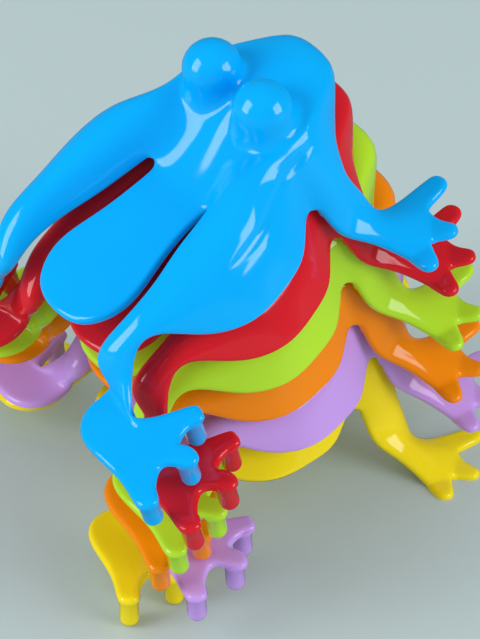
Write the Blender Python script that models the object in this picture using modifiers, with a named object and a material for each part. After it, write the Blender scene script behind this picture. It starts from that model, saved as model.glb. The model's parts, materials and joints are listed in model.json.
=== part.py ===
"""A set of six nesting jumping frogs, piled one on another.

Each frog is one thin moulding with a springy tail tab that is pressed down at its free end. The six
mouldings are alike and differ only in colour. Lengths are metres, +Z is up, and the frog's own frame has
+X at its right side and +Y ahead of its nose, with the ground at zero height.
"""
import math

import bmesh
import bpy
from mathutils import Matrix, Vector
from mathutils.bvhtree import BVHTree

# Overall sizes of one frog. The tables of shares below follow them.
HALF_WIDTH = 0.050
HALF_LENGTH = 0.050
HEIGHT = 0.050

# The moulding.
WALL = 0.0015
SKIN_LEVEL = 1
CAGE_PULLS = 6

# Eyes.
EYE_RADIUS = 0.0065
EYE_SPACING = 0.0188
EYE_FORWARD = 0.0242
EYE_CENTRE_HEIGHT = 0.0408
EYE_RING_SHARE = 0.56
EYE_RING_RISE_SHARE = 0.62
EYE_CATCH_SHARE = 1.5

# Feet: a flat plate with three toes, each on a round peg.
PEG_HEIGHT = 0.010
PEG_RADIUS = 0.0022
PEG_FLAT_RADIUS = 0.0011
PEG_SIDES = 8
PEG_ROUND_STEPS = 2
TOE_HALF_WIDTH = 0.0027
FINGER_HALF_WIDTH = 0.0025
TIP_LENGTH_SHARE = 0.95
TIP_WIDTH_SHARE = 0.45

# Tail tab.
TAB_THICKNESS = 0.0015
TAB_SLOPE = math.radians(11.5)
TAB_LENGTH = 0.0365
TAB_ROOT_HALF_WIDTH = 0.0094
BARREL_SIDES = 8
HINGE_GAP = 0.0004
TAB_PLAY = math.radians(1)

# Stack.
NEST_GAP = 0.0003
SAMPLE_STEP = 0.001
RAY_START = 1.0

# Mesh limits.
MERGE_DISTANCE = 0.00001
SHARP_ANGLE = math.radians(50)
FLAT_ANGLE = math.radians(6)
LEVEL_CATCH = 0.0002
QUARTER_TURN = math.radians(90)
GLOSS_ROUGHNESS = 0.16

# Rows of points over one half of the skin, from the lip to the ankle. Each row runs from the middle of the
# back, a, or the edge beside the tab, b, over the ridge, c and d, to the lower rim, e. A point is a share of
# the half width, the half length and the height.
ROW_SHARES = {
    "lip": {"a": (0.00, 0.87, 0.515), "b": (0.13, 0.86, 0.515), "c": (0.25, 0.81, 0.505),
            "d": (0.345, 0.745, 0.455)},
    "brow": {"a": (0.00, 0.86, 0.75), "b": (0.13, 0.845, 0.75), "c": (0.244, 0.795, 0.74),
             "d": (0.318, 0.725, 0.665), "e": (0.395, 0.725, 0.38)},
    "front": {"a": (0.00, 0.61, 0.81), "b": (0.08, 0.595, 0.80), "c": (0.295, 0.59, 0.75),
              "d": (0.356, 0.58, 0.665), "e": (0.448, 0.58, 0.45)},
    "back": {"a": (0.00, 0.37, 0.71), "b": (0.08, 0.37, 0.705), "c": (0.295, 0.37, 0.695),
             "d": (0.368, 0.37, 0.645), "e": (0.447, 0.435, 0.36)},
    "dip": {"a": (0.00, 0.21, 0.59), "b": (0.15, 0.195, 0.585), "c": (0.31, 0.21, 0.71),
            "d": (0.45, 0.22, 0.62), "e": (0.562, 0.27, 0.35)},
    "root": {"a": (0.00, 0.058, 0.505), "b": (0.198, 0.058, 0.505), "c": (0.34, 0.05, 0.68),
             "d": (0.515, 0.065, 0.615), "e": (0.63, 0.11, 0.34)},
    "loin": {"b": (0.265, -0.16, 0.465), "c": (0.36, -0.16, 0.625), "d": (0.52, -0.15, 0.57),
             "e": (0.66, -0.08, 0.335)},
    "hip": {"b": (0.305, -0.34, 0.43), "c": (0.38, -0.345, 0.575), "d": (0.51, -0.34, 0.53),
            "e": (0.605, -0.29, 0.36)},
    "haunch": {"b": (0.325, -0.525, 0.395), "c": (0.378, -0.56, 0.485), "d": (0.478, -0.55, 0.48),
               "e": (0.52, -0.49, 0.44)},
    "shin": {"b": (0.33, -0.655, 0.32), "c": (0.362, -0.712, 0.345), "d": (0.46, -0.695, 0.345),
             "e": (0.51, -0.63, 0.355)},
}
ROW_ORDER = ("lip", "brow", "front", "back", "dip", "root", "loin", "hip", "haunch", "shin")
ARM_SHARES = {
    "elbow": {"f": (0.425, 0.73, 0.25), "g": (0.495, 0.64, 0.32), "h": (0.49, 0.51, 0.27)},
    "wrist": {"f": (0.48, 0.74, 0.14), "g": (0.535, 0.665, 0.19), "h": (0.565, 0.595, 0.165)},
}

# Points of the flat hand and the flat foot, as shares of the half width and the half length.
HAND_SHARES = {"palm_front": (0.458, 0.875), "palm_rear": (0.72, 0.665),
               "gap_12": (0.585, 0.92), "gap_23": (0.745, 0.805)}
FOOT_SHARES = {"ankle_b": (0.40, -0.715), "ankle_c": (0.455, -0.735), "ankle_d": (0.535, -0.742),
               "ankle_e": (0.605, -0.745), "sole_in": (0.54, -0.85), "sole_out": (0.72, -0.81),
               "heel_in": (0.41, -0.84), "heel_out": (0.52, -0.96), "heel_toe": (0.76, -0.97),
               "web_12": (0.84, -0.68), "web_23": (0.885, -0.82)}
# Each finger or toe: where its round end is centred, and the point that it points away from.
FINGER_SHARES = {"finger_1": ((0.508, 1.03), (0.51, 0.88)), "finger_2": ((0.704, 0.925), (0.60, 0.80)),
                 "finger_3": ((0.80, 0.71), (0.66, 0.745))}
TOE_SHARES = {"toe_1": ((0.768, -0.568), (0.68, -0.77)), "toe_2": ((0.91, -0.71), (0.72, -0.78)),
              "toe_3": ((0.952, -0.948), (0.74, -0.90))}

# Half of the tab's outline behind its hinge: shares of the root's half width and of the tab's length.
TAB_OUTLINE_SHARES = ((1.00, 0.00), (1.01, 0.10), (1.06, 0.20), (1.16, 0.38), (1.28, 0.56), (1.37, 0.70),
                      (1.33, 0.80), (1.10, 0.90), (0.70, 0.968), (0.00, 1.00))

# The frogs' colours, from the ground up.
FROG_COLOURS = {
    "yellow": (1.000, 0.760, 0.010),
    "lilac": (0.600, 0.340, 0.860),
    "orange": (1.000, 0.260, 0.002),
    "lime": (0.480, 0.790, 0.030),
    "red": (0.710, 0.012, 0.022),
    "blue": (0.000, 0.430, 1.000),
}
# Yaw, pitch and roll of each frog in degrees.
FROG_ANGLES = {
    "yellow": (0.0, 0.0, 0.0),
    "lilac": (10.3, 5.5, 3.4),
    "orange": (6.8, 7.5, 5.9),
    "lime": (11.0, 12.0, 4.9),
    "red": (15.5, 15.6, 2.6),
    "blue": (11.6, 17.5, 4.8),
}
# Each frog's shift over the ground, as shares of the half width and the half length.
FROG_SHIFT_SHARES = {
    "yellow": (0.0, 0.0),
    "lilac": (0.055, 0.045),
    "orange": (0.050, -0.045),
    "lime": (0.126, -0.106),
    "red": (0.198, -0.183),
    "blue": (0.211, -0.296),
}


def clear_scene():
    for item in list(bpy.data.objects):
        bpy.data.objects.remove(item, do_unlink=True)


def collection(name):
    group = bpy.data.collections.new(name)
    bpy.context.scene.collection.children.link(group)
    return group


def add_object(name, mesh, group):
    item = bpy.data.objects.new(name, mesh)
    group.objects.link(item)
    return item


def add_bmesh(name, bm, group):
    mesh = bpy.data.meshes.new(name)
    bm.to_mesh(mesh)
    bm.free()
    return add_object(name, mesh, group)


def glossy_plastic(name, colour):
    material = bpy.data.materials.new(name)
    material.use_nodes = True
    shader = material.node_tree.nodes["Principled BSDF"]
    shader.inputs["Base Color"].default_value = (*colour, 1.0)
    shader.inputs["Roughness"].default_value = GLOSS_ROUGHNESS
    shader.inputs["Metallic"].default_value = 0.0
    material.diffuse_color = (*colour, 1.0)
    return material


def evaluated_copy(item, name):
    bpy.context.view_layer.update()
    graph = bpy.context.evaluated_depsgraph_get()
    mesh = bpy.data.meshes.new_from_object(item.evaluated_get(graph))
    mesh.name = name
    return mesh


def mirrored(point):
    return Vector((-point.x, point.y, point.z))


def body_points():
    """Named points of the half skin, and the names of those on the flat hand and the flat foot."""
    points = {}
    for rows in (ROW_SHARES, ARM_SHARES):
        for row, columns in rows.items():
            for column, (x, y, z) in columns.items():
                points[f"{row}_{column}"] = Vector((x * HALF_WIDTH, y * HALF_LENGTH, z * HEIGHT))
    flat = set()
    for shares, height in ((HAND_SHARES, WALL), (FOOT_SHARES, PEG_HEIGHT)):
        for name, (x, y) in shares.items():
            points[name] = Vector((x * HALF_WIDTH, y * HALF_LENGTH, height))
            flat.add(name)
    for shares, half_width, height in ((FINGER_SHARES, FINGER_HALF_WIDTH, WALL),
                                       (TOE_SHARES, TOE_HALF_WIDTH, PEG_HEIGHT)):
        for name, (centre, source) in shares.items():
            end = Vector((centre[0] * HALF_WIDTH, centre[1] * HALF_LENGTH, height))
            start = Vector((source[0] * HALF_WIDTH, source[1] * HALF_LENGTH, height))
            along = (end - start).normalized()
            across = Vector((along.y, -along.x, 0.0)) * half_width
            tip = end + along * half_width * TIP_LENGTH_SHARE
            points[f"{name}_l"] = end - across
            points[f"{name}_r"] = end + across
            points[f"{name}_tl"] = tip - across * TIP_WIDTH_SHARE
            points[f"{name}_tr"] = tip + across * TIP_WIDTH_SHARE
            flat.update(f"{name}_{corner}" for corner in ("l", "r", "tl", "tr"))
    return points, flat


def toe_centres():
    return [Vector((x * HALF_WIDTH, y * HALF_LENGTH, 0.0)) for (x, y), _ in TOE_SHARES.values()]


def eye_centre():
    return Vector((EYE_SPACING / 2, EYE_FORWARD, EYE_CENTRE_HEIGHT))


def eye_points():
    """Four points of the ring near the top of the right eye, named like the cage points under them."""
    centre = eye_centre()
    reach = EYE_RADIUS * EYE_RING_SHARE
    rise = EYE_RADIUS * EYE_RING_RISE_SHARE
    return {
        "eye_front_b": centre + Vector((-reach, reach, rise)),
        "eye_front_c": centre + Vector((reach, reach, rise)),
        "eye_back_b": centre + Vector((-reach, -reach, rise)),
        "eye_back_c": centre + Vector((reach, -reach, rise)),
    }


def body_faces():
    """Faces of the half skin by point name, all wound the same way round."""
    faces = []
    for row, after in zip(ROW_ORDER, ROW_ORDER[1:]):
        columns = [c for c in "abcde" if c in ROW_SHARES[row] and c in ROW_SHARES[after]]
        for left, right in zip(columns, columns[1:]):
            if (row, left) != ("front", "b"):
                faces.append((f"{row}_{left}", f"{row}_{right}", f"{after}_{right}", f"{after}_{left}"))
    faces.append(("lip_d", "brow_e", "brow_d"))
    for left, right in zip("bcd", "cde"):
        faces.append((f"shin_{left}", f"shin_{right}", f"ankle_{right}", f"ankle_{left}"))
    base = ("front_b", "front_c", "back_c", "back_b")
    for start, end in zip(base, base[1:] + base[:1]):
        faces.append((start, end, f"eye_{end}", f"eye_{start}"))
    faces.append(tuple(f"eye_{name}" for name in base))
    faces += [
        ("ankle_b", "ankle_c", "sole_in", "heel_in"), ("ankle_c", "ankle_d", "sole_out", "sole_in"),
        ("ankle_d", "ankle_e", "web_12", "sole_out"), ("web_12", "web_23", "sole_out"),
        ("sole_out", "web_23", "heel_toe", "sole_in"), ("sole_in", "heel_toe", "heel_out", "heel_in"),
        ("brow_e", "elbow_f", "elbow_g", "front_e"), ("front_e", "elbow_g", "elbow_h", "back_e"),
        ("elbow_f", "wrist_f", "wrist_g", "elbow_g"), ("elbow_g", "wrist_g", "wrist_h", "elbow_h"),
        ("wrist_f", "palm_front", "gap_12", "wrist_g"), ("wrist_g", "gap_23", "palm_rear", "wrist_h"),
        ("wrist_g", "gap_12", "gap_23"),
    ]
    limbs = (("toe_1", "ankle_e", "web_12"), ("toe_2", "web_12", "web_23"), ("toe_3", "web_23", "heel_toe"),
             ("finger_1", "palm_front", "gap_12"), ("finger_2", "gap_12", "gap_23"),
             ("finger_3", "gap_23", "palm_rear"))
    for name, left, right in limbs:
        faces.append((left, f"{name}_l", f"{name}_r", right))
        faces.append((f"{name}_l", f"{name}_tl", f"{name}_tr", f"{name}_r"))
    return faces


def smooth_position(vert, cage):
    """Where Subdivision Surface brings a vertex of the half cage, with its mirror image beyond x = 0."""
    place = cage[vert.index]
    on_middle = vert.co.x == 0.0
    across = [edge for edge in vert.link_edges if not on_middle or edge.other_vert(vert).co.x != 0.0]
    rim = [cage[edge.other_vert(vert).index] for edge in across if edge.is_boundary]
    if rim:
        if on_middle:
            rim.append(mirrored(rim[0]))
        return (place * 4 + rim[0] + rim[1]) / 6
    middles = [(place + cage[edge.other_vert(vert).index]) / 2 for edge in vert.link_edges]
    centres = [sum((cage[corner.index] for corner in face.verts), Vector()) / len(face.verts)
               for face in vert.link_faces]
    if on_middle:
        middles += [mirrored((place + cage[edge.other_vert(vert).index]) / 2) for edge in across]
        centres += [mirrored(point) for point in centres[:]]
    count = len(centres)
    total = sum(middles + centres, Vector())
    return place * ((count - 3) / (count + 5)) + total * (4 / (count * (count + 5)))


def pull_cage(bm, flat, corner):
    """Moves the cage until the smooth skin passes through the points that the tables give."""
    targets = [vert.co.copy() for vert in bm.verts]
    cage = [vert.co.copy() for vert in bm.verts]
    for _ in range(CAGE_PULLS):
        moved = []
        for vert in bm.verts:
            step = targets[vert.index] - smooth_position(vert, cage)
            if vert in flat:
                step.z = 0.0
            if vert.co.x == 0.0:
                step.x = 0.0
            if vert == corner:
                step = Vector()
            moved.append(cage[vert.index] + step)
        cage = moved
    for vert, point in zip(bm.verts, cage):
        vert.co = point


def skin_mesh(group):
    """The frog's upper skin as one open surface."""
    points, flat = body_points()
    points.update(eye_points())
    bm = bmesh.new()
    corner_layer = bm.verts.layers.float.new("crease_vert")
    verts = {name: bm.verts.new(point) for name, point in points.items()}
    for names in body_faces():
        bm.faces.new([verts[name] for name in names])
    bm.verts.index_update()
    verts["root_b"][corner_layer] = 1.0
    pull_cage(bm, {verts[name] for name in flat}, verts["root_b"])
    bmesh.ops.recalc_face_normals(bm, faces=bm.faces)
    bm.normal_update()
    if verts["root_a"].link_faces[0].normal.z < 0.0:
        bmesh.ops.reverse_faces(bm, faces=bm.faces)
    cage = add_bmesh("skin_cage", bm, group)
    mirror = cage.modifiers.new("Mirror", "MIRROR")
    mirror.use_axis = (True, False, False)
    mirror.use_clip = True
    mirror.merge_threshold = MERGE_DISTANCE
    smooth = cage.modifiers.new("Smooth", "SUBSURF")
    smooth.levels = SKIN_LEVEL
    smooth.render_levels = SKIN_LEVEL
    skin = evaluated_copy(cage, "skin")
    round_eyes(skin)
    return skin


def round_eyes(mesh):
    """Brings the points over each eye's middle height onto the eye's sphere."""
    centre = eye_centre()
    for vert in mesh.vertices:
        middle = centre if vert.co.x > 0.0 else mirrored(centre)
        arm = vert.co - middle
        if arm.z > 0.0 and arm.length < EYE_RADIUS * EYE_CATCH_SHARE:
            vert.co = middle + arm.normalized() * EYE_RADIUS


def peg_mesh(group):
    """One peg about the Z axis, from its round end on the ground to inside the toe."""
    top = PEG_HEIGHT - WALL / 2
    rounding = PEG_RADIUS - PEG_FLAT_RADIUS
    profile = [(0.0, top), (PEG_RADIUS, top)]
    for index in range(PEG_ROUND_STEPS + 1):
        angle = QUARTER_TURN * index / PEG_ROUND_STEPS
        profile.append((PEG_FLAT_RADIUS + rounding * math.cos(angle), rounding * (1.0 - math.sin(angle))))
    profile.append((0.0, 0.0))
    mesh = bpy.data.meshes.new("peg_profile")
    edges = [(index, index + 1) for index in range(len(profile) - 1)]
    mesh.from_pydata([(radius, 0.0, height) for radius, height in profile], edges, [])
    peg = add_object("peg_profile", mesh, group)
    turn = peg.modifiers.new("Turn", "SCREW")
    turn.steps = PEG_SIDES
    turn.render_steps = PEG_SIDES
    turn.use_merge_vertices = True
    turn.merge_threshold = MERGE_DISTANCE
    return evaluated_copy(peg, "peg")


def pegs_object(group):
    peg = peg_mesh(group)
    bm = bmesh.new()
    for centre in toe_centres():
        for place in (centre, mirrored(centre)):
            peg.transform(Matrix.Translation(place))
            bm.from_mesh(peg)
            peg.transform(Matrix.Translation(-place))
    return add_bmesh("pegs", bm, group)


def level_hands(mesh):
    """Brings the hands' undersides, left a hair uneven by the wall's offset, into the ground's plane."""
    for vert in mesh.vertices:
        if abs(vert.co.z) < LEVEL_CATCH:
            vert.co.z = 0.0
    return mesh


def frog_mesh(group):
    """The whole moulding except its tail tab."""
    skin = add_object("skin", skin_mesh(group), group)
    wall = skin.modifiers.new("Wall", "SOLIDIFY")
    wall.thickness = WALL
    wall.offset = -1.0
    wall.use_even_offset = True
    shell = add_object("shell", level_hands(evaluated_copy(skin, "shell")), group)
    join = shell.modifiers.new("Pegs", "BOOLEAN")
    join.operation = "UNION"
    join.object = pegs_object(group)
    flats = shell.modifiers.new("Flats", "DECIMATE")
    flats.decimate_type = "DISSOLVE"
    flats.angle_limit = FLAT_ANGLE
    mesh = evaluated_copy(shell, "frog")
    mesh.shade_smooth()
    mesh.set_sharp_from_angle(angle=SHARP_ANGLE)
    return mesh


def tab_mesh(group):
    """The tail tab in its hinge's frame: the axis is X, and the tab runs back along -Y."""
    half = [(x * TAB_ROOT_HALF_WIDTH, -y * TAB_LENGTH) for x, y in TAB_OUTLINE_SHARES]
    outline = half + [(-x, y) for x, y in reversed(half[:-1])]
    curve = bpy.data.curves.new("tab_outline", "CURVE")
    curve.dimensions = "2D"
    curve.fill_mode = "BOTH"
    curve.extrude = TAB_THICKNESS / 2
    spline = curve.splines.new("POLY")
    spline.points.add(len(outline) - 1)
    for point, (x, y) in zip(spline.points, outline):
        point.co = (x, y, 0.0, 1.0)
    spline.use_cyclic_u = True
    bm = bmesh.new()
    bm.from_mesh(evaluated_copy(add_object("tab_outline", curve, group), "tab_outline"))
    bmesh.ops.remove_doubles(bm, verts=bm.verts, dist=MERGE_DISTANCE)
    plate = add_bmesh("tab_plate", bm, group)
    bm = bmesh.new()
    bmesh.ops.create_cone(bm, cap_ends=True, segments=BARREL_SIDES, radius1=TAB_THICKNESS / 2,
                          radius2=TAB_THICKNESS / 2, depth=2 * TAB_ROOT_HALF_WIDTH,
                          matrix=Matrix.Rotation(QUARTER_TURN, 4, "Y"))
    join = plate.modifiers.new("Barrel", "BOOLEAN")
    join.operation = "UNION"
    join.object = add_bmesh("tab_barrel", bm, group)
    return evaluated_copy(plate, "tail_tab")


def hinge_matrix():
    """From the hinge's frame to the frog's. The axis lies in the middle of the wall at the tab's root."""
    _, forward, rise = ROW_SHARES["root"]["a"]
    radius = TAB_THICKNESS / 2
    axis = Vector((0.0, forward * HALF_LENGTH - HINGE_GAP - radius, rise * HEIGHT - radius))
    return Matrix.Translation(axis) @ Matrix.Rotation(TAB_SLOPE, 4, "X")


def frog_matrix(angles, shift):
    yaw, pitch, roll = (math.radians(angle) for angle in angles)
    turn = Matrix.Rotation(yaw, 4, "Z") @ Matrix.Rotation(pitch, 4, "X") @ Matrix.Rotation(roll, 4, "Y")
    return Matrix.Translation((shift[0] * HALF_WIDTH, shift[1] * HALF_LENGTH, 0.0)) @ turn


def surface_points(mesh):
    """The mesh's vertices and points along its edges, no further apart than the sample step."""
    points = [vert.co.copy() for vert in mesh.vertices]
    for edge in mesh.edges:
        start, end = (mesh.vertices[index].co for index in edge.vertices)
        count = math.ceil((end - start).length / SAMPLE_STEP)
        points += [start.lerp(end, index / count) for index in range(1, count)]
    return points


def surface_tree(pieces):
    verts, faces = [], []
    for mesh, place in pieces:
        first = len(verts)
        verts += [place @ vert.co for vert in mesh.vertices]
        faces += [[first + index for index in face.vertices] for face in mesh.polygons]
    return BVHTree.FromPolygons(verts, faces)


def rise_to_clear(upper, lower):
    """How far the upper pieces go up, from where they are, to lie on the lower pieces with the gap."""
    down, up = Vector((0.0, 0.0, -1.0)), Vector((0.0, 0.0, 1.0))
    upper_tree, lower_tree = surface_tree(upper), surface_tree(lower)
    rise = -RAY_START
    for mesh, place in upper:
        for point in surface_points(mesh):
            point = place @ point
            hit = lower_tree.ray_cast(Vector((point.x, point.y, RAY_START)), down)[0]
            if hit:
                rise = max(rise, hit.z - point.z)
    for mesh, place in lower:
        for point in surface_points(mesh):
            point = place @ point
            hit = upper_tree.ray_cast(Vector((point.x, point.y, -RAY_START)), up)[0]
            if hit:
                rise = max(rise, point.z - hit.z)
    return rise + NEST_GAP


def stack(frog, tab, hinge):
    """Name, colour and place of each frog, with the pile in the middle and on the ground.

    A frog lies on those below it with its tab a little pressed, so that each tab can still move in the pile.
    """
    pressed = hinge @ Matrix.Rotation(TAB_PLAY, 4, "X")
    placed, below = [], []
    for name, colour in FROG_COLOURS.items():
        place = frog_matrix(FROG_ANGLES[name], FROG_SHIFT_SHARES[name])
        if below:
            rise = rise_to_clear([(frog, place), (tab, place @ hinge), (tab, place @ pressed)], below)
            place = Matrix.Translation((0.0, 0.0, rise)) @ place
        placed.append((name, colour, place))
        below += [(frog, place), (tab, place @ hinge)]
    corners = [place @ vert.co for mesh, place in below for vert in mesh.vertices]
    middle = [(max(c[axis] for c in corners) + min(c[axis] for c in corners)) / 2 for axis in range(2)]
    ground = min(corner.z for corner in corners)
    centre = Matrix.Translation((-middle[0], -middle[1], -ground))
    return [(name, colour, centre @ place) for name, colour, place in placed]


def build():
    clear_scene()
    parts = collection("jumping_frog_game")
    guides = collection("guides")
    frog = frog_mesh(guides)
    tab = tab_mesh(guides)
    hinge = hinge_matrix()
    for name, colour, place in stack(frog, tab, hinge):
        material = glossy_plastic(f"{name}_plastic", colour)
        body = add_object(f"{name}_frog", frog, parts)
        body.matrix_world = place
        tail = add_object(f"{name}_tail_tab", tab, parts)
        tail.parent = body
        tail.matrix_local = hinge
        for item in (body, tail):
            if not item.data.materials:
                item.data.materials.append(None)
            item.material_slots[0].link = "OBJECT"
            item.material_slots[0].material = material
    for item in guides.objects:
        item.hide_render = True
        item.display_type = "WIRE"


build()
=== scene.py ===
"""The looks of a leaning pile of six nesting jumping frogs in glossy moulded plastic.

Lengths are metres, +Z is up, and a frog's own frame has +X at its right side and +Y ahead of its nose,
with the ground at zero height. One fine frog and one fine tail tab are made, and copies are set down where
the frame has them.
"""
import math

import bmesh
import bpy
from mathutils import Matrix, Vector
from mathutils.bvhtree import BVHTree
from mathutils.kdtree import KDTree
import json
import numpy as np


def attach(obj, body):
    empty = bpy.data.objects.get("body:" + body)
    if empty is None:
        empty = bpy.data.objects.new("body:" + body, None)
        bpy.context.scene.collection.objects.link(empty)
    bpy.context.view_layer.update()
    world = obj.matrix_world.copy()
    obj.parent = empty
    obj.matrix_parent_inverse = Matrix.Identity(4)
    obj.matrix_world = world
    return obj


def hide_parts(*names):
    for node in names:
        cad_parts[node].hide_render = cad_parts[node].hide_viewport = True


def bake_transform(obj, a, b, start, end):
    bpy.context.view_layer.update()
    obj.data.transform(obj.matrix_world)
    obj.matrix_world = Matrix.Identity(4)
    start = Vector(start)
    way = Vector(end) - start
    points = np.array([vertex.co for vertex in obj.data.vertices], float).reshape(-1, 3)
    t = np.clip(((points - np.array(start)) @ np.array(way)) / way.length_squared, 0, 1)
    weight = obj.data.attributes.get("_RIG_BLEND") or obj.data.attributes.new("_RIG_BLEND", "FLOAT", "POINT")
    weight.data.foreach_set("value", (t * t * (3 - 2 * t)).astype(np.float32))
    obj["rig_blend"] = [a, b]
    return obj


# Overall sizes of one frog. The tables of shares below follow them.
HALF_WIDTH = 0.050
HALF_LENGTH = 0.050
HEIGHT = 0.050

# The moulding. The rim's upper edge is rounded, with loops of finer faces next to it.
WALL = 0.0015
RIM_ROUNDING = 0.0011
RIM_LOOPS = 3
RIM_SAMPLES = 6
SKIN_LEVEL = 3
CAGE_PULLS = 6
FROG_FACES, TAB_FACES = 0, 1

# Eyes: a dome on a short round wall that flares into the head.
EYE_RADIUS = 0.0066
EYE_SPACING = 0.0176
EYE_FORWARD = 0.0232
EYE_CENTRE_HEIGHT = 0.0403
EYE_SPAN = 0.0061
EYE_FLARE_RADIUS = 0.0086

# Feet: a flat plate with three toes, each on a round peg. A wider collar joins the peg to the toe.
PEG_HEIGHT = 0.010
PEG_RADIUS = 0.0022
PEG_SIDES = 32
PEG_ROUND_STEPS = 6
COLLAR_RADIUS = 0.00255
COLLAR_DEPTH = 0.0028
COLLAR_FADE = 0.0007

# Ends of toes and fingers. The shares are of the half width.
TOE_HALF_WIDTH = 0.0027
FINGER_HALF_WIDTH = 0.0027
TIP_LENGTH_SHARE = 0.98
TIP_WIDTH_SHARE = 0.55
SIDE_BACK_SHARE = 0.30

# Tail tab: the hinge's axis crosses its root, and it bends over this length behind the root.
TAB_SLOPE = math.radians(11.5)
TAB_LENGTH = 0.0365
TAB_ROOT_HALF_WIDTH = 0.0094
TAB_BEND = 0.008
HINGE_BACK = 0.00115
HINGE_DROP = 0.00075

# A shallow channel down each side, outside the ridge. It fades out at both ends.
CHANNEL_SHARES = ((0.315, 0.60, 0.66), (0.395, 0.43, 0.635), (0.455, 0.28, 0.60), (0.53, 0.12, 0.58),
                  (0.575, -0.06, 0.555), (0.60, -0.20, 0.52))
CHANNEL_DEPTH = 0.0009
CHANNEL_HALF_WIDTH = 0.0022

# Mesh limits.
MERGE_DISTANCE = 0.00001
SHARP_ANGLE = math.radians(40)
LEVEL_COSINE = 0.995
QUARTER_TURN = math.radians(90)
RAY_START = 1.0

# Rows of points over one half of the skin, from the lip to the ankle. Each row runs from the middle of the
# back, a, or the edge beside the tab, b, over the ridge, c and d, to the lower rim, e. A point is a share of
# the half width, the half length and the height.
ROW_SHARES = {
    "lip": {"a": (0.00, 0.84, 0.505), "b": (0.12, 0.82, 0.505), "c": (0.225, 0.76, 0.49),
            "d": (0.305, 0.70, 0.465)},
    "brow": {"a": (0.00, 0.865, 0.745), "b": (0.12, 0.85, 0.735), "c": (0.21, 0.78, 0.705),
             "d": (0.285, 0.70, 0.625), "e": (0.39, 0.665, 0.385)},
    "front": {"a": (0.00, 0.58, 0.775), "b": (0.08, 0.57, 0.77), "c": (0.27, 0.56, 0.73),
              "d": (0.355, 0.55, 0.685), "e": (0.445, 0.545, 0.45)},
    "back": {"a": (0.00, 0.37, 0.71), "b": (0.08, 0.37, 0.705), "c": (0.285, 0.37, 0.70),
             "d": (0.373, 0.37, 0.66), "e": (0.447, 0.435, 0.36)},
    "dip": {"a": (0.00, 0.21, 0.59), "b": (0.15, 0.195, 0.585), "c": (0.288, 0.21, 0.705),
            "d": (0.44, 0.22, 0.63), "e": (0.575, 0.262, 0.325)},
    "root": {"a": (0.00, 0.058, 0.505), "b": (0.205, 0.070, 0.508), "c": (0.33, 0.05, 0.675),
             "d": (0.51, 0.06, 0.615), "e": (0.645, 0.10, 0.312)},
    "loin": {"b": (0.262, -0.16, 0.465), "c": (0.357, -0.16, 0.622), "d": (0.52, -0.15, 0.575),
             "e": (0.675, -0.085, 0.305)},
    "hip": {"b": (0.305, -0.34, 0.43), "c": (0.385, -0.345, 0.56), "d": (0.51, -0.34, 0.525),
            "e": (0.612, -0.295, 0.34)},
    "haunch": {"b": (0.325, -0.525, 0.395), "c": (0.382, -0.56, 0.475), "d": (0.478, -0.55, 0.48),
               "e": (0.52, -0.49, 0.44)},
    "shin": {"b": (0.33, -0.655, 0.32), "c": (0.362, -0.712, 0.345), "d": (0.46, -0.695, 0.345),
             "e": (0.51, -0.63, 0.355)},
}
ROW_ORDER = ("lip", "brow", "front", "back", "dip", "root", "loin", "hip", "haunch", "shin")
ARM_SHARES = {
    "elbow": {"f": (0.43, 0.70, 0.24), "g": (0.505, 0.60, 0.24), "h": (0.522, 0.49, 0.212)},
    "wrist": {"f": (0.455, 0.735, 0.125), "g": (0.56, 0.69, 0.14), "h": (0.59, 0.585, 0.12)},
}

# Round ends: of the gap between arm and flank, and of the slot beside the tab. Each has two points, one on
# either side of the row's own point there.
ROUND_END_SHARES = {"crotch_arm": (0.468, 0.455, 0.330), "crotch_flank": (0.457, 0.385, 0.365),
                    "slot_in": (0.187, 0.046, 0.500), "slot_out": (0.227, 0.044, 0.505)}

# Points of the flat hand and the flat foot, as shares of the half width and the half length.
HAND_SHARES = {"palm_front": (0.430, 0.860), "palm_rear": (0.685, 0.665),
               "gap_12": (0.555, 0.935), "gap_23": (0.712, 0.812)}
FOOT_SHARES = {"ankle_b": (0.40, -0.715), "ankle_c": (0.455, -0.735), "ankle_d": (0.535, -0.742),
               "ankle_e": (0.605, -0.745), "sole_in": (0.54, -0.85), "sole_out": (0.72, -0.81),
               "heel_in": (0.41, -0.84), "heel_out": (0.52, -0.96), "heel_toe": (0.76, -0.97),
               "web_12": (0.84, -0.68), "web_23": (0.885, -0.82)}
# Each finger or toe: where its round end is centred, and the point that it points away from.
FINGER_SHARES = {"finger_1": ((0.470, 1.03), (0.49, 0.88)), "finger_2": ((0.688, 0.895), (0.58, 0.80)),
                 "finger_3": ((0.755, 0.735), (0.62, 0.755))}
TOE_SHARES = {"toe_1": ((0.768, -0.568), (0.68, -0.77)), "toe_2": ((0.91, -0.71), (0.72, -0.78)),
              "toe_3": ((0.952, -0.948), (0.74, -0.90))}

# Rows of the tail tab behind its root: shares of the root's half width and of the tab's length.
TAB_SHARES = {"tab_1": (1.00, 0.13), "tab_2": (1.16, 0.40), "tab_3": (1.34, 0.70), "tab_4": (0.86, 0.94)}
TAB_END_SHARE = 1.00

# From the ground up: colour, then yaw, pitch and roll in degrees.
FROGS = {
    "yellow": ((1.000, 0.760, 0.010), (0.0, 0.0, 0.0)),
    "lilac": ((0.600, 0.340, 0.860), (10.3, 5.5, 3.4)),
    "orange": ((1.000, 0.260, 0.002), (6.8, 7.5, 5.9)),
    "lime": ((0.480, 0.790, 0.030), (11.0, 12.0, 4.9)),
    "red": ((0.710, 0.012, 0.022), (15.5, 15.6, 2.6)),
    "blue": ((0.000, 0.430, 1.000), (11.6, 17.5, 4.8)),
}

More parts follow.
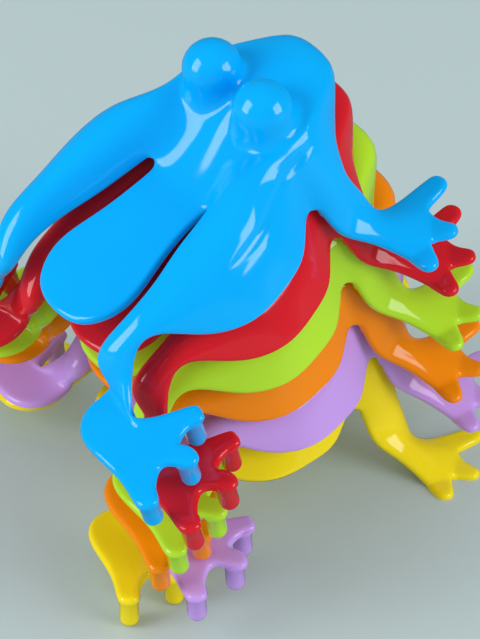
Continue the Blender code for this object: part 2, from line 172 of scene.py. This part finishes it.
# Plastic.
PLASTIC_IOR = 1.49
TINT_RANGE = (0.96, 1.04)
TINT_LIFT = 0.002
GLOSS_ROUGHNESS = 0.08
GLOSS_RANGE = (0.8, 1.3)
RIPPLE_SCALE = 60.0
RIPPLE_DETAIL = 1.0
RIPPLE_DEPTH = 0.00004
GRAIN_SCALE = 900.0
GRAIN_DETAIL = 3.0
GRAIN_DEPTH = 0.000002

# Camera, as the photograph was taken. The target is in the lowest frog's frame.
VIEW_AZIMUTH = math.radians(65)
VIEW_ELEVATION = math.radians(38)
VIEW_DISTANCE = 0.666
VIEW_TARGET = Vector((0.0193, -0.0071, 0.0526))
VIEW_LENS = 168.1
VIEW_SENSOR_WIDTH = 36.0

# Studio. The plastic mirrors a darker floor than the camera sees.
FLOOR_COLOUR = (0.52, 0.62, 0.63)
FLOOR_GLOSS_COLOUR = (0.12, 0.21, 0.23)
FLOOR_ROUGHNESS = 0.8
FLOOR_SIZE = 6.0
SKY_COLOUR = (0.80, 0.86, 0.87)
SKY_STRENGTH = 0.78
SKY_GLOSS_STRENGTH = 0.06
# Name, azimuth and elevation in degrees seen from the pile, width and height, and glow.
SOFTBOXES = (
    ("left_box", (-6, 23), (0.55, 0.80), 4.6),
    ("right_box", (127, 21), (0.60, 0.60), 4.6),
)
SOFTBOX_DISTANCE = 1.1


def heading(azimuth, elevation):
    """Unit vector towards that azimuth, from -Y round to +X, and elevation."""
    level = math.cos(elevation)
    return Vector((level * math.sin(azimuth), -level * math.cos(azimuth), math.sin(elevation)))


def add_object(name, mesh):
    item = bpy.data.objects.new(name, mesh)
    bpy.context.scene.collection.objects.link(item)
    return item


def add_bmesh(name, bm):
    mesh = bpy.data.meshes.new(name)
    bm.to_mesh(mesh)
    bm.free()
    return add_object(name, mesh)


def evaluated_copy(item, name):
    """The mesh that the object's modifiers give. The object itself is removed."""
    bpy.context.view_layer.update()
    graph = bpy.context.evaluated_depsgraph_get()
    mesh = bpy.data.meshes.new_from_object(item.evaluated_get(graph))
    mesh.name = name
    bpy.data.objects.remove(item, do_unlink=True)
    return mesh


def mirrored(point):
    return Vector((-point.x, point.y, point.z))


def sized(shares):
    x, y, z = shares
    return Vector((x * HALF_WIDTH, y * HALF_LENGTH, z * HEIGHT))


def body_points():
    """Named points of the half skin, and the names of those on the flat hand and the flat foot."""
    points = {}
    for rows in (ROW_SHARES, ARM_SHARES):
        for row, columns in rows.items():
            for column, shares in columns.items():
                points[f"{row}_{column}"] = sized(shares)
    points.update((name, sized(shares)) for name, shares in ROUND_END_SHARES.items())
    flat = set()
    for shares, height in ((HAND_SHARES, WALL), (FOOT_SHARES, PEG_HEIGHT)):
        for name, (x, y) in shares.items():
            points[name] = Vector((x * HALF_WIDTH, y * HALF_LENGTH, height))
            flat.add(name)
    for shares, half_width, height in ((FINGER_SHARES, FINGER_HALF_WIDTH, WALL),
                                       (TOE_SHARES, TOE_HALF_WIDTH, PEG_HEIGHT)):
        for name, (centre, source) in shares.items():
            end = Vector((centre[0] * HALF_WIDTH, centre[1] * HALF_LENGTH, height))
            start = Vector((source[0] * HALF_WIDTH, source[1] * HALF_LENGTH, height))
            along = (end - start).normalized()
            across = Vector((along.y, -along.x, 0.0)) * half_width
            tip = end + along * half_width * TIP_LENGTH_SHARE
            side = end - along * half_width * SIDE_BACK_SHARE
            points[f"{name}_l"] = side - across
            points[f"{name}_r"] = side + across
            points[f"{name}_tl"] = tip - across * TIP_WIDTH_SHARE
            points[f"{name}_tr"] = tip + across * TIP_WIDTH_SHARE
            flat.update(f"{name}_{corner}" for corner in ("l", "r", "tl", "tr"))
    root = hinge_point() + Vector((0.0, 0.0, HINGE_DROP))
    back, drop = math.cos(TAB_SLOPE), math.sin(TAB_SLOPE)
    for name, (across, along) in TAB_SHARES.items():
        reach = along * TAB_LENGTH
        points[f"{name}_a"] = root + Vector((0.0, -reach * back, -reach * drop))
        points[f"{name}_t"] = points[f"{name}_a"] + Vector((across * TAB_ROOT_HALF_WIDTH, 0.0, 0.0))
    reach = TAB_END_SHARE * TAB_LENGTH
    points["tab_4_a"] = root + Vector((0.0, -reach * back, -reach * drop))
    return points, flat


def hinge_point():
    """Middle of the tail tab's hinge in the frog's frame, inside the wall at the tab's root."""
    _, forward, rise = ROW_SHARES["root"]["a"]
    return Vector((0.0, forward * HALF_LENGTH - HINGE_BACK, rise * HEIGHT - HINGE_DROP))


def body_faces():
    """Faces of the half skin by point name, all wound the same way round."""
    faces = []
    for row, after in zip(ROW_ORDER, ROW_ORDER[1:]):
        columns = [c for c in "abcde" if c in ROW_SHARES[row] and c in ROW_SHARES[after]]
        for left, right in zip(columns, columns[1:]):
            faces.append((f"{row}_{left}", f"{row}_{right}", f"{after}_{right}", f"{after}_{left}"))
    faces.remove(("back_d", "back_e", "dip_e", "dip_d"))
    faces.remove(("root_b", "root_c", "loin_c", "loin_b"))
    faces += [("lip_d", "brow_e", "brow_d"), ("root_a", "root_b", "slot_in", "tab_1_t", "tab_1_a"),
              ("root_b", "root_c", "loin_c", "loin_b", "slot_out")]
    for left, right in zip("bcd", "cde"):
        faces.append((f"shin_{left}", f"shin_{right}", f"ankle_{right}", f"ankle_{left}"))
    faces += [
        ("ankle_b", "ankle_c", "sole_in", "heel_in"), ("ankle_c", "ankle_d", "sole_out", "sole_in"),
        ("ankle_d", "ankle_e", "web_12", "sole_out"), ("web_12", "web_23", "sole_out"),
        ("sole_out", "web_23", "heel_toe", "sole_in"), ("sole_in", "heel_toe", "heel_out", "heel_in"),
        ("brow_e", "elbow_f", "elbow_g", "front_e"),
        ("front_e", "elbow_g", "elbow_h", "crotch_arm", "back_e"),
        ("back_d", "back_e", "crotch_flank", "dip_e", "dip_d"),
        ("elbow_f", "wrist_f", "wrist_g", "elbow_g"), ("elbow_g", "wrist_g", "wrist_h", "elbow_h"),
        ("wrist_f", "palm_front", "gap_12", "wrist_g"), ("wrist_g", "gap_23", "palm_rear", "wrist_h"),
        ("wrist_g", "gap_12", "gap_23"),
    ]
    limbs = (("toe_1", "ankle_e", "web_12"), ("toe_2", "web_12", "web_23"), ("toe_3", "web_23", "heel_toe"),
             ("finger_1", "palm_front", "gap_12"), ("finger_2", "gap_12", "gap_23"),
             ("finger_3", "gap_23", "palm_rear"))
    for name, left, right in limbs:
        faces.append((left, f"{name}_l", f"{name}_r", right))
        faces.append((f"{name}_l", f"{name}_tl", f"{name}_tr", f"{name}_r"))
    return faces


def tab_faces():
    return [(f"{row}_a", f"{row}_t", f"{after}_t", f"{after}_a")
            for row, after in (("tab_1", "tab_2"), ("tab_2", "tab_3"), ("tab_3", "tab_4"))]


def smooth_position(vert, cage):
    """Where Subdivision Surface brings a vertex of the half cage, with its mirror image beyond x = 0."""
    place = cage[vert.index]
    on_middle = vert.co.x == 0.0
    across = [edge for edge in vert.link_edges if not on_middle or edge.other_vert(vert).co.x != 0.0]
    rim = [cage[edge.other_vert(vert).index] for edge in across if edge.is_boundary]
    if rim:
        if on_middle:
            rim.append(mirrored(rim[0]))
        return (place * 4 + rim[0] + rim[1]) / 6
    middles = [(place + cage[edge.other_vert(vert).index]) / 2 for edge in vert.link_edges]
    centres = [sum((cage[corner.index] for corner in face.verts), Vector()) / len(face.verts)
               for face in vert.link_faces]
    if on_middle:
        middles += [mirrored((place + cage[edge.other_vert(vert).index]) / 2) for edge in across]
        centres += [mirrored(point) for point in centres[:]]
    count = len(centres)
    total = sum(middles + centres, Vector())
    return place * ((count - 3) / (count + 5)) + total * (4 / (count * (count + 5)))


def pull_cage(bm, flat):
    """Moves the cage until the smooth skin passes through the points that the tables give."""
    targets = [vert.co.copy() for vert in bm.verts]
    cage = [vert.co.copy() for vert in bm.verts]
    for _ in range(CAGE_PULLS):
        moved = []
        for vert in bm.verts:
            step = targets[vert.index] - smooth_position(vert, cage)
            if vert in flat:
                step.z = 0.0
            if vert.co.x == 0.0:
                step.x = 0.0
            moved.append(cage[vert.index] + step)
        cage = moved
    for vert, point in zip(bm.verts, cage):
        vert.co = point


def skin_mesh():
    """The upper skin of frog and tail tab as one open surface. A face's material index says whose it is."""
    points, flat = body_points()
    bm = bmesh.new()
    verts = {name: bm.verts.new(point) for name, point in points.items()}
    for names in body_faces():
        bm.faces.new([verts[name] for name in names])
    for names in tab_faces():
        bm.faces.new([verts[name] for name in names]).material_index = TAB_FACES
    bm.verts.index_update()
    pull_cage(bm, {verts[name] for name in flat})
    bmesh.ops.recalc_face_normals(bm, faces=bm.faces)
    bm.normal_update()
    if verts["tab_2_a"].link_faces[0].normal.z < 0.0:
        bmesh.ops.reverse_faces(bm, faces=bm.faces)
    cage = add_bmesh("skin_cage", bm)
    for _ in range(2):
        cage.data.materials.append(None)
    mirror = cage.modifiers.new("Mirror", "MIRROR")
    mirror.use_axis = (True, False, False)
    mirror.use_clip = True
    mirror.merge_threshold = MERGE_DISTANCE
    smooth = cage.modifiers.new("Smooth", "SUBSURF")
    smooth.levels = SKIN_LEVEL
    smooth.render_levels = SKIN_LEVEL
    return evaluated_copy(cage, "skin")


def nearest_on_path(point, path):
    """Distance from a point to a row of joined segments, and how far along the row that is, from 0 to 1."""
    best = (math.inf, 0.0)
    for index, (start, end) in enumerate(zip(path, path[1:])):
        along = end - start
        share = max(0.0, min(1.0, (point - start).dot(along) / along.length_squared))
        best = min(best, ((point - start - along * share).length, (index + share) / (len(path) - 1)))
    return best


def folded(point):
    """The point in the right half."""
    return Vector((abs(point.x), point.y, point.z))


def refine(bm, near):
    """Splits the faces whose middle is near what needs finer faces."""
    edges = {edge for face in bm.faces if near(folded(face.calc_center_median())) for edge in face.edges}
    bmesh.ops.subdivide_edges(bm, edges=list(edges), cuts=1, use_grid_fill=True)


def raise_eyes(bm, head):
    """Turns the round patch about each eye's axis into a dome on a wall that flares into the head."""
    axis = Vector((EYE_SPACING / 2, EYE_FORWARD))

    def head_height(x, y):
        hit = head.ray_cast(Vector((x, y, RAY_START)), Vector((0.0, 0.0, -1.0)))[0]
        return hit.z

    for vert in bm.verts:
        side = -1.0 if vert.co.x < 0.0 else 1.0
        arm = Vector((abs(vert.co.x), vert.co.y)) - axis
        reach = arm.length
        if reach >= EYE_FLARE_RADIUS:
            continue
        outward = arm.normalized() if reach > 0.0 else Vector((1.0, 0.0))
        if reach <= EYE_SPAN:
            angle = QUARTER_TURN * reach / EYE_SPAN
            out, height = EYE_RADIUS * math.sin(angle), EYE_CENTRE_HEIGHT + EYE_RADIUS * math.cos(angle)
        else:
            share = (reach - EYE_SPAN) / (EYE_FLARE_RADIUS - EYE_SPAN)
            out = EYE_RADIUS + (EYE_FLARE_RADIUS - EYE_RADIUS) * share ** 2
            foot = axis + outward * EYE_RADIUS
            wall = EYE_CENTRE_HEIGHT - head_height(side * foot.x, foot.y)
            place = axis + outward * out
            height = head_height(side * place.x, place.y) + wall * (1.0 - share) ** 2
        place = axis + outward * out
        vert.co = Vector((side * place.x, place.y, height))


def press_channels(bm):
    path = [sized(shares) for shares in CHANNEL_SHARES]
    bm.normal_update()
    moves = []
    for vert in bm.verts:
        distance, along = nearest_on_path(folded(vert.co), path)
        if distance < CHANNEL_HALF_WIDTH:
            depth = CHANNEL_DEPTH * math.sin(math.pi * along)
            swell = math.cos(math.pi * distance / CHANNEL_HALF_WIDTH) + 1.0
            moves.append((vert, vert.normal * depth * swell / 2))
    for vert, move in moves:
        vert.co -= move


def detailed_skin():
    """The fine skin with eyes and channels, and with what rounds its free rim."""
    mesh = skin_mesh()
    bm = bmesh.new()
    bm.from_mesh(mesh)
    axis = Vector((EYE_SPACING / 2, EYE_FORWARD))
    path = [sized(shares) for shares in CHANNEL_SHARES]
    refine(bm, lambda point: (point.xy - axis).length < EYE_FLARE_RADIUS + EYE_RADIUS / 2)
    refine(bm, lambda point: nearest_on_path(point, path)[0] < 2 * CHANNEL_HALF_WIDTH)
    head = BVHTree.FromBMesh(bm)
    raise_eyes(bm, head)
    press_channels(bm)
    measure_rim(bm)
    return bm


def measure_rim(bm):
    """Adds loops along the free rim, and keeps each vertex's normal and how far it sinks to round it."""
    inward = [edge for edge in bm.edges if edge.verts[0].is_boundary != edge.verts[1].is_boundary]
    bmesh.ops.subdivide_edges(bm, edges=inward, cuts=RIM_LOOPS, use_grid_fill=True)
    bm.normal_update()
    rim = [edge for edge in bm.edges if edge.is_boundary]
    tree = KDTree(len(rim) * RIM_SAMPLES)
    for index, edge in enumerate(rim):
        start, end = (vert.co for vert in edge.verts)
        for step in range(RIM_SAMPLES):
            tree.insert(start.lerp(end, step / RIM_SAMPLES), index)
    tree.balance()
    sink = bm.verts.layers.float.new("rim_sink")
    normal = bm.verts.layers.float_vector.new("skin_normal")
    for vert in bm.verts:
        level = all(abs(face.normal.z) > LEVEL_COSINE for face in vert.link_faces)
        vert[normal] = Vector((0.0, 0.0, 1.0)) if level else vert.normal
        short = RIM_ROUNDING - tree.find(vert.co)[2]
        if vert.is_boundary:
            short = RIM_ROUNDING
        if short > 0.0:
            vert[sink] = RIM_ROUNDING - math.sqrt(RIM_ROUNDING ** 2 - short ** 2)


def peg_mesh():
    """One peg about the Z axis, from its round end on the ground to inside the toe."""
    top = PEG_HEIGHT - WALL / 2
    collar = PEG_HEIGHT - COLLAR_DEPTH
    profile = [(0.0, top), (COLLAR_RADIUS, top), (COLLAR_RADIUS, collar + COLLAR_FADE),
               ((COLLAR_RADIUS + PEG_RADIUS) / 2, collar + COLLAR_FADE / 3), (PEG_RADIUS, collar)]
    for index in range(PEG_ROUND_STEPS + 1):
        angle = QUARTER_TURN * index / PEG_ROUND_STEPS
        profile.append((PEG_RADIUS * math.cos(angle), PEG_RADIUS * (1.0 - math.sin(angle))))
    profile[-1] = (0.0, 0.0)
    mesh = bpy.data.meshes.new("peg_profile")
    edges = [(index, index + 1) for index in range(len(profile) - 1)]
    mesh.from_pydata([(radius, 0.0, height) for radius, height in profile], edges, [])
    peg = add_object("peg_profile", mesh)
    turn = peg.modifiers.new("Turn", "SCREW")
    turn.steps = PEG_SIDES
    turn.render_steps = PEG_SIDES
    turn.use_merge_vertices = True
    turn.merge_threshold = MERGE_DISTANCE
    return evaluated_copy(peg, "peg")


def pegs_object():
    peg = peg_mesh()
    bm = bmesh.new()
    for (x, y), _ in TOE_SHARES.values():
        centre = Vector((x * HALF_WIDTH, y * HALF_LENGTH, 0.0))
        for place in (centre, mirrored(centre)):
            peg.transform(Matrix.Translation(place))
            bm.from_mesh(peg)
            peg.transform(Matrix.Translation(-place))
    return add_bmesh("pegs", bm)


def walled(bm, name, keep_index, pegs=None):
    """Gives one part of the skin its wall and its rounded rim. The faces of the other part are left out."""
    bm = bm.copy()
    others = [face for face in bm.faces if face.material_index != keep_index]
    bmesh.ops.delete(bm, geom=others, context="FACES")
    sink, normal = bm.verts.layers.float["rim_sink"], bm.verts.layers.float_vector["skin_normal"]
    sides = [edge.link_loops[0] for edge in bm.edges if edge.is_boundary]
    upper = list(bm.verts)
    under = {vert: bm.verts.new(vert.co - vert[normal] * WALL) for vert in upper}
    for face in list(bm.faces):
        bm.faces.new([under[vert] for vert in reversed(face.verts)])
    for loop in sides:
        near, far = loop.vert, loop.link_loop_next.vert
        bm.faces.new((far, near, under[near], under[far]))
    for vert in upper:
        vert.co -= vert[normal] * vert[sink]
    for face in bm.faces:
        face.material_index = 0
    bm.verts.layers.float.remove(sink)
    bm.verts.layers.float_vector.remove(bm.verts.layers.float_vector["skin_normal"])
    item = add_bmesh(name, bm)
    item.data.materials.append(None)
    if pegs:
        join = item.modifiers.new("Pegs", "BOOLEAN")
        join.operation = "UNION"
        join.object = pegs
    mesh = evaluated_copy(item, name)
    mesh.shade_smooth()
    mesh.set_sharp_from_angle(angle=SHARP_ANGLE)
    return mesh


def moulding_meshes():
    skin = detailed_skin()
    pegs = pegs_object()
    frog = walled(skin, "frog", FROG_FACES, pegs)
    tab = walled(skin, "tail_tab", TAB_FACES)
    skin.free()
    bpy.data.objects.remove(pegs, do_unlink=True)
    return frog, tab


def plastic(name, colour):
    """Glossy moulded plastic with a faint ripple, fine grain and slightly uneven colour."""
    material = bpy.data.materials.new(name)
    material.use_nodes = True
    nodes, links = material.node_tree.nodes, material.node_tree.links
    shader = nodes["Principled BSDF"]
    shader.inputs["IOR"].default_value = PLASTIC_IOR
    place = nodes.new("ShaderNodeTexCoord")

    def noise(scale, detail):
        texture = nodes.new("ShaderNodeTexNoise")
        texture.inputs["Scale"].default_value = scale
        texture.inputs["Detail"].default_value = detail
        links.new(place.outputs["Object"], texture.inputs["Vector"])
        return texture.outputs["Fac"]

    ripple, grain = noise(RIPPLE_SCALE, RIPPLE_DETAIL), noise(GRAIN_SCALE, GRAIN_DETAIL)
    tint = nodes.new("ShaderNodeMix")
    tint.data_type = "RGBA"
    dark, light = TINT_RANGE
    tint.inputs["A"].default_value = (*(channel * dark for channel in colour), 1.0)
    tint.inputs["B"].default_value = (*(min(1.0, channel * light + TINT_LIFT) for channel in colour), 1.0)
    links.new(ripple, tint.inputs["Factor"])
    links.new(tint.outputs["Result"], shader.inputs["Base Color"])
    gloss = nodes.new("ShaderNodeMapRange")
    gloss.inputs["To Min"].default_value = GLOSS_ROUGHNESS * GLOSS_RANGE[0]
    gloss.inputs["To Max"].default_value = GLOSS_ROUGHNESS * GLOSS_RANGE[1]
    links.new(grain, gloss.inputs["Value"])
    links.new(gloss.outputs["Result"], shader.inputs["Roughness"])
    fine = nodes.new("ShaderNodeBump")
    fine.inputs["Distance"].default_value = GRAIN_DEPTH
    links.new(grain, fine.inputs["Height"])
    wide = nodes.new("ShaderNodeBump")
    wide.inputs["Distance"].default_value = RIPPLE_DEPTH
    links.new(ripple, wide.inputs["Height"])
    links.new(fine.outputs["Normal"], wide.inputs["Normal"])
    links.new(wide.outputs["Normal"], shader.inputs["Normal"])
    return material


def frog_place(name, joints):
    """The frog's place, from its turns and from where its tail tab's hinge is."""
    yaw, pitch, roll = (math.radians(angle) for angle in FROGS[name][1])
    turn = Matrix.Rotation(yaw, 4, "Z") @ Matrix.Rotation(pitch, 4, "X") @ Matrix.Rotation(roll, 4, "Y")
    hinge = Vector(joints[f"{name}_tab_press"]["pos_m"])
    return Matrix.Translation(hinge - turn.to_3x3() @ hinge_point()) @ turn


def set_down_frogs(joints):
    frog, tab = moulding_meshes()
    for name, (colour, _) in FROGS.items():
        place = frog_place(name, joints)
        material = plastic(f"{name}_plastic_fine", colour)
        body = add_object(f"{name}_frog_moulding", frog.copy())
        tail = add_object(f"{name}_tail_tab_moulding", tab.copy())
        for item, node in ((body, f"{name}_frog"), (tail, f"{name}_tail_tab")):
            item.data.materials[0] = material
            item.data.transform(place)
            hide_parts(node)
        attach(body, f"{name}_frog")
        back = Vector((0.0, -math.cos(TAB_SLOPE), -math.sin(TAB_SLOPE)))
        seam = hinge_point() + back * TAB_LENGTH * TAB_SHARES["tab_1"][1]
        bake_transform(tail, f"{name}_frog", f"{name}_tail_tab", start=place @ seam,
                 end=place @ (seam + back * TAB_BEND))


def studio():
    bm = bmesh.new()
    bmesh.ops.create_grid(bm, x_segments=1, y_segments=1, size=FLOOR_SIZE / 2)
    floor = add_bmesh("floor", bm)
    material = bpy.data.materials.new("floor_paint")
    material.use_nodes = True
    nodes, links = material.node_tree.nodes, material.node_tree.links
    shader = nodes["Principled BSDF"]
    shader.inputs["Roughness"].default_value = FLOOR_ROUGHNESS
    path = nodes.new("ShaderNodeLightPath")
    paint = nodes.new("ShaderNodeMix")
    paint.data_type = "RGBA"
    paint.inputs["A"].default_value = (*FLOOR_COLOUR, 1.0)
    paint.inputs["B"].default_value = (*FLOOR_GLOSS_COLOUR, 1.0)
    links.new(path.outputs["Is Glossy Ray"], paint.inputs["Factor"])
    links.new(paint.outputs["Result"], shader.inputs["Base Color"])
    floor.data.materials.append(material)
    world = bpy.data.worlds.new("studio")
    world.use_nodes = True
    nodes, links = world.node_tree.nodes, world.node_tree.links
    sky = nodes["Background"]
    sky.inputs["Color"].default_value = (*SKY_COLOUR, 1.0)
    path = nodes.new("ShaderNodeLightPath")
    strength = nodes.new("ShaderNodeMapRange")
    strength.inputs["To Min"].default_value = SKY_STRENGTH
    strength.inputs["To Max"].default_value = SKY_GLOSS_STRENGTH
    links.new(path.outputs["Is Glossy Ray"], strength.inputs["Value"])
    links.new(strength.outputs["Result"], sky.inputs["Strength"])
    bpy.context.scene.world = world


def lights(target):
    for name, (azimuth, elevation), size, glow in SOFTBOXES:
        light = bpy.data.lights.new(name, "AREA")
        light.shape = "RECTANGLE"
        light.size, light.size_y = size
        light.energy = glow * math.pi * light.size * light.size_y
        item = bpy.data.objects.new(name, light)
        bpy.context.scene.collection.objects.link(item)
        outward = heading(math.radians(azimuth), math.radians(elevation))
        item.location = target + outward * SOFTBOX_DISTANCE
        item.rotation_euler = outward.to_track_quat("Z", "Y").to_euler()


def camera(target):
    back = heading(VIEW_AZIMUTH, VIEW_ELEVATION)
    right = Vector((math.cos(VIEW_AZIMUTH), math.sin(VIEW_AZIMUTH), 0.0))
    lens = bpy.data.cameras.new("camera")
    lens.sensor_width = VIEW_SENSOR_WIDTH
    lens.lens = VIEW_LENS
    item = bpy.data.objects.new("camera", lens)
    bpy.context.scene.collection.objects.link(item)
    turn = Matrix((right, back.cross(right), back)).transposed()
    item.matrix_world = Matrix.Translation(target + back * VIEW_DISTANCE) @ turn.to_4x4()
    bpy.context.scene.camera = item


with open("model.json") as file:
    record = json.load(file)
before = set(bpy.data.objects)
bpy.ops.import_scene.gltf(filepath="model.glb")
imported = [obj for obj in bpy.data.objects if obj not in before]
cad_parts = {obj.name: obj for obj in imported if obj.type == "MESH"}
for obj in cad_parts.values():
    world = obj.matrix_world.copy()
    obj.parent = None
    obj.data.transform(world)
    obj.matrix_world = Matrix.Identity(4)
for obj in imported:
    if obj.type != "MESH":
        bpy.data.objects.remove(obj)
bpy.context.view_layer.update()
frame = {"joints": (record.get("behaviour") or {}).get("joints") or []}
joints = {joint["name"]: joint for joint in frame["joints"]}
target = frog_place("yellow", joints) @ VIEW_TARGET
camera(target)
studio()
lights(target)
set_down_frogs(joints)
bpy.context.scene.view_settings.view_transform = "Standard"
